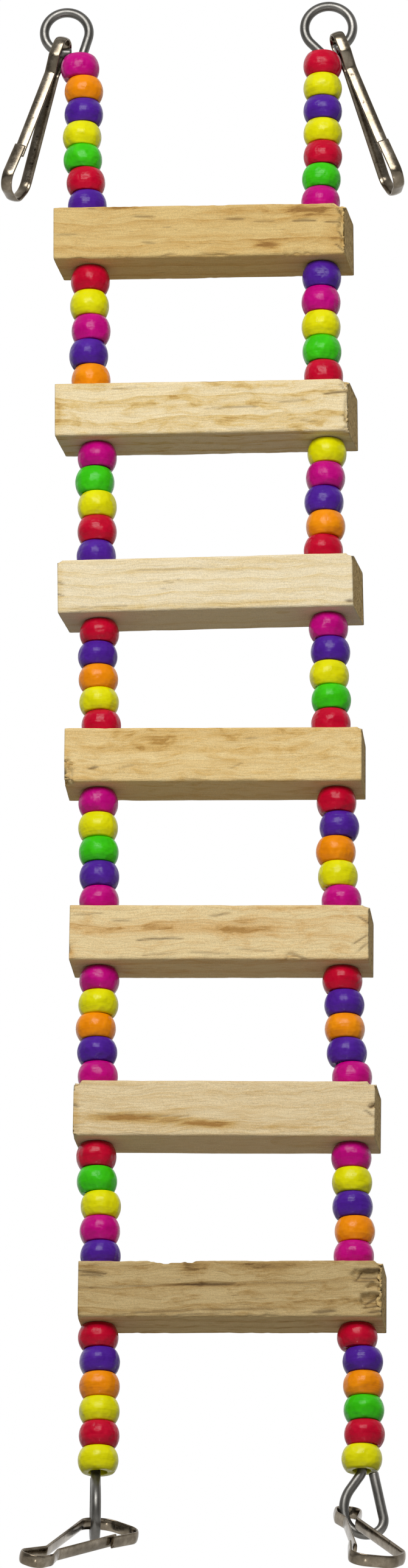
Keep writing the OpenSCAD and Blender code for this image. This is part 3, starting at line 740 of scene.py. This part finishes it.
def bead(x, z, length, turn):
    """A bead standing on height z with its axis at x: its profile swept once round the upright axis."""
    profile = bead_profile(length)
    angle = np.linspace(0, 2 * np.pi, round_points, endpoint=False) + turn
    radius, height = profile[:, 0], profile[:, 1]
    rings = np.stack([x + np.outer(np.cos(angle), radius), rod_plane + np.outer(np.sin(angle), radius),
                      z + length / 2 + np.tile(height, (len(angle), 1))], -1)
    return inside_out(*skin(rings, "wrap"))


def moulded(name, code, light, dark):
    """Injection-moulded polystyrene with a little pearl in it: even bright colour, glossy, faintly wavy
    skin."""
    material, tree = new_material(name)
    here = add(tree, "ShaderNodeTexCoord").outputs["Object"]
    pearl = grain(tree, here, scale=1500.0, detail=4.0, roughness=0.7)
    cloud = grain(tree, here, scale=260.0, detail=2.0)
    mixed = calc(tree, "MULTIPLY_ADD", pearl, 0.5, cloud)
    tint = ramp(tree, mixed, [(0.45, dark), (0.75, code), (1.05, light)])
    gloss = remap(tree, cloud, (0.3, 0.7), (0.2, 0.32))
    # fine level lines from the mould, 7 mm long and 0.4 mm high, on a slow waviness
    lines = grain(tree, stretch(tree, here, (140, 140, 2600)), scale=1.0, detail=3.0)
    wave = bump(tree, calc(tree, "MULTIPLY_ADD", lines, 0.07, cloud), 1.0, 0.0009)
    coat = {"IOR": 1.5, "Specular IOR Level": 0.12, "Coat Weight": 0.1, "Coat Roughness": 0.08}
    plastic = add(tree, "ShaderNodeBsdfPrincipled", coat,
                  {"Base Color": tint, "Roughness": gloss, "Normal": wave})
    add(tree, "ShaderNodeOutputMaterial", links={"Surface": plastic.outputs[0]})
    return material


# letter: colour word, and the colour itself with a lighter and a darker one for the pearl
bead_colours = {
    "M": ("magenta", "#BE007B", "#C80883", "#B20071"),
    "O": ("orange", "#F08C00", "#F49406", "#E88400"),
    "P": ("purple", "#4C1C92", "#53229A", "#451789"),
    "Y": ("yellow", "#E0DC00", "#E6E206", "#DAD600"),
    "G": ("green", "#38C20C", "#40CA14", "#30B808"),
    "R": ("red", "#C0002A", "#C80630", "#B60026"),
}


def face_z(i, x, side):
    """Height of the upper (side 1) or lower (side -1) face of rung i at place x."""
    t = np.radians(rung_sheet[i]["slope"])
    return rung_sheet[i]["z"] + side * rung_half / np.cos(t) - (x - rung_sheet[i]["x"]) * np.tan(t)


def space_ends(space, x):
    """Heights of the roof and the ground of a space at place x: rung faces, or the rods' own ends."""
    roof = top_z if space == 0 else face_z(space - 1, x, -1)
    ground = bottom_z if space == len(rung_sheet) else face_z(space, x, 1)
    return roof, ground


sides = [("left", left_beads, left_slides, left_line), ("right", right_beads, right_slides, right_line)]
for side_name, spaces, slides, line in sides:
    stacks = {}
    for space, row in enumerate(spaces):
        beside = rod_x(line, sum(space_ends(space, 0)) / 2)
        roof, ground = space_ends(space, beside)
        length = (roof - ground - (len(row) + 1) * bead_play) / len(row)
        for place, letter in enumerate(row):
            z = roof - (place + 1) * (length + bead_play)
            slide = (int(slides[space][place]) - 4) / 5 * (bead_hole - rod_diameter) / 2
            x = rod_x(line, z + length / 2) + slide
            stacks.setdefault(letter, []).append(bead(x, z, length, place * 1.7 + space))
    for letter, skins in stacks.items():
        word, code, light, dark = bead_colours[letter]
        if f"{word}_polystyrene" not in bpy.data.materials:
            moulded(f"{word}_polystyrene", code, light, dark)
        plastic = bpy.data.materials[f"{word}_polystyrene"]
        piece(f"{side_name}_{word}_barrels", skins, plastic, "ladder",
              [f"{side_name}_{word}_beads"])

# Snap clips. Four equal clips, each bent from one nickel-plated spring strip: a springy
# gate that tucks behind the nose, a broad bow, a back strand, a neck and a small loop.
clip_width, clip_thickness, gate_length, gate_overlap = 2.7, 0.85, 20.0, 2.3
nose_length, bow_width, gate_gap, hang_gap = 9.9, 11.65, 0.1, 0.12
gate_y = clip_thickness / 2 + gate_gap / 2
nose_y = -gate_y
loop_y = -0.75 - clip_thickness / 2
bow_end = gate_length + nose_length
# the strip's middle line (along, across, bend radius): gate, loop, back strand, bow and nose
clip_corners = [
    (gate_length + gate_overlap, gate_y, 0),
    (0, gate_y, 2),
    (-4, loop_y, 2),
    (-9.6, loop_y + 0.15, 2.6),
    (-9.4, 4.9, 2.2),
    (-0.6, 3.1, 1.2),
    (bow_end - 4.42, nose_y + bow_width, 4),
    (bow_end + 0.78, nose_y + bow_width - 3.18, 4.2),
    (bow_end + 1.1, nose_y - 1, 3.4),
    (gate_length, nose_y, 0),
]
# how far the middle of an eye's wire stays from the strip: inside the loop, and beside the strip
wire_reach = rod_diameter / 2 + hang_gap
in_loop = loop_y + clip_thickness / 2 + wire_reach
beside_wire = -clip_width / 2 - wire_reach


def strip_section():
    """Section of the strip as a closed line: a flat bar with well rounded edges, crowned on both faces.
    Heights and places across are powers of the sine and cosine of one turn."""
    a = np.linspace(0, 2 * np.pi, 36, endpoint=False)
    power, crown_share = 0.42, 0.5
    w = np.sign(np.cos(a)) * np.abs(np.cos(a)) ** power * clip_width / 2
    crown = 1 - crown_share * (w / clip_width * 2) ** 2
    h = np.sign(np.sin(a)) * np.abs(np.sin(a)) ** power * clip_thickness / 2 * crown
    return h, w


def clip_rings():
    """Rings of the strip along the bent line, drawn in at both cut ends."""
    flat, angle = bent_line(clip_corners, 0.3)
    h, w = strip_section()
    normal = held(np.stack([-np.sin(angle), np.cos(angle)], -1), 2)
    along = held(np.stack([np.cos(angle), np.sin(angle)], -1), 2)
    flat = held(flat, 2)
    size = np.concatenate([[0.55, 0.93], np.ones(len(flat) - 4), [0.93, 0.55]])
    push = np.concatenate([[-0.03, -0.02], np.zeros(len(flat) - 4), [0.02, 0.03]])
    flat = flat + along * push[:, None]
    rings = np.zeros((len(flat), len(h), 3))
    rings[..., :2] = flat[:, None] + normal[:, None] * (h * size[:, None])[..., None]
    rings[..., 2] = w * (0.3 + 0.7 * size[:, None])
    return rings


def nickel(name, seed):
    """Nickel plate on spring steel, tumbled and handled: warm grey mirror gone cloudy, brown at the worn
    edges, with small dark pits."""
    material, tree = new_material(name)
    here = add(tree, "ShaderNodeTexCoord").outputs["Object"]
    moved = stretch(tree, here, (1, 1, 1), (seed * 0.013, 0, 0))
    cloud = grain(tree, moved, scale=220.0, detail=5.0, roughness=0.65)
    fine = grain(tree, moved, scale=1400.0, detail=4.0, roughness=0.7)
    spots = grain(tree, moved, scale=620.0, detail=2.0)
    plate = ramp(tree, cloud, [(0.3, "#5E5547"), (0.5, "#7B7162"), (0.7, "#9C9282")])
    rubbed = calc(tree, "MULTIPLY", marked(tree, "edge"), cloud)
    edged = over(tree, remap(tree, rubbed, (0.2, 0.6), (0.0, 0.7)), plate, "#6B5A45")
    pitted = over(tree, remap(tree, spots, (0.68, 0.74), (0.0, 0.85)), edged, "#2E2620")
    dull = remap(tree, fine, (0.3, 0.7), (0.14, 0.3))
    tilted = bump(tree, fine, 0.1, 0.00002)
    steel = add(tree, "ShaderNodeBsdfPrincipled", {"Metallic": 1.0},
                {"Base Color": pitted, "Roughness": dull, "Normal": tilted})
    add(tree, "ShaderNodeOutputMaterial", links={"Surface": steel.outputs[0]})
    return material


def turned_about(points, angles):
    """Points turned about X, then Y, then Z, in degrees."""
    a, b, c = np.radians(angles)
    about_x = np.array([[1, 0, 0], [0, np.cos(a), -np.sin(a)], [0, np.sin(a), np.cos(a)]])
    about_y = np.array([[np.cos(b), 0, np.sin(b)], [0, 1, 0], [-np.sin(b), 0, np.cos(b)]])
    about_z = np.array([[np.cos(c), -np.sin(c), 0], [np.sin(c), np.cos(c), 0], [0, 0, 1]])
    return points @ (about_z @ about_y @ about_x).T


def on_ring(middle, r, degrees, shift):
    """The point at an angle on a ring eye, in the plane of the rods, with a small shift."""
    a = np.radians(degrees)
    return np.add(shift, [middle[0] + r * np.cos(a), 0, middle[1] + r * np.sin(a)])


strip = clip_rings()
across_strip = np.abs(strip_section()[1]) / (clip_width / 2)
edge_mark = np.tile(np.clip((across_strip - 0.72) / 0.28, 0, 1), (len(strip), 1))
marks = np.concatenate([edge_mark.ravel(), [0.5, 0.5]])
# where each clip meets its eye, from the plane of the rods, how it is turned, and the point of the clip
# that lies there
hangs = {
    "top_left_clip": (on_ring(left_middle, left_ring, 226.6, (0.42, -0.1, -0.22)),
                      (-166.6, 71, -178.3), (-6.2, in_loop, -1.54)),
    "top_right_clip": (on_ring(right_middle, right_ring, -17.8, (-0.98, -0.44, -0.63)),
                       (-1.1, 68.7, 6.6), (-7.83, in_loop + 0.1, 2.2)),
    "bottom_left_clip": ((-24.1, 2.16, bottom_z - pear_length - 0.05),
                         (26.2, -21.3, 55.8), (27.62, 7.05, beside_wire)),
    "bottom_right_clip": ((30.75, -0.75, bottom_z - pear_length + 0.59),
                          (-4.1, 30.5, -82.7), (-3.14, 2.54, 0.15 + beside_wire)),
}
for number, (name, (at, angles, seat)) in enumerate(hangs.items()):
    placed = turned_about(strip - seat, angles) + np.add(at, [0, rod_plane, 0])
    plate = nickel(f"worn_nickel_{number + 1}", number)
    piece(f"bent_{name}", [skin(placed)], plate, name, [name], {"edge": marks})
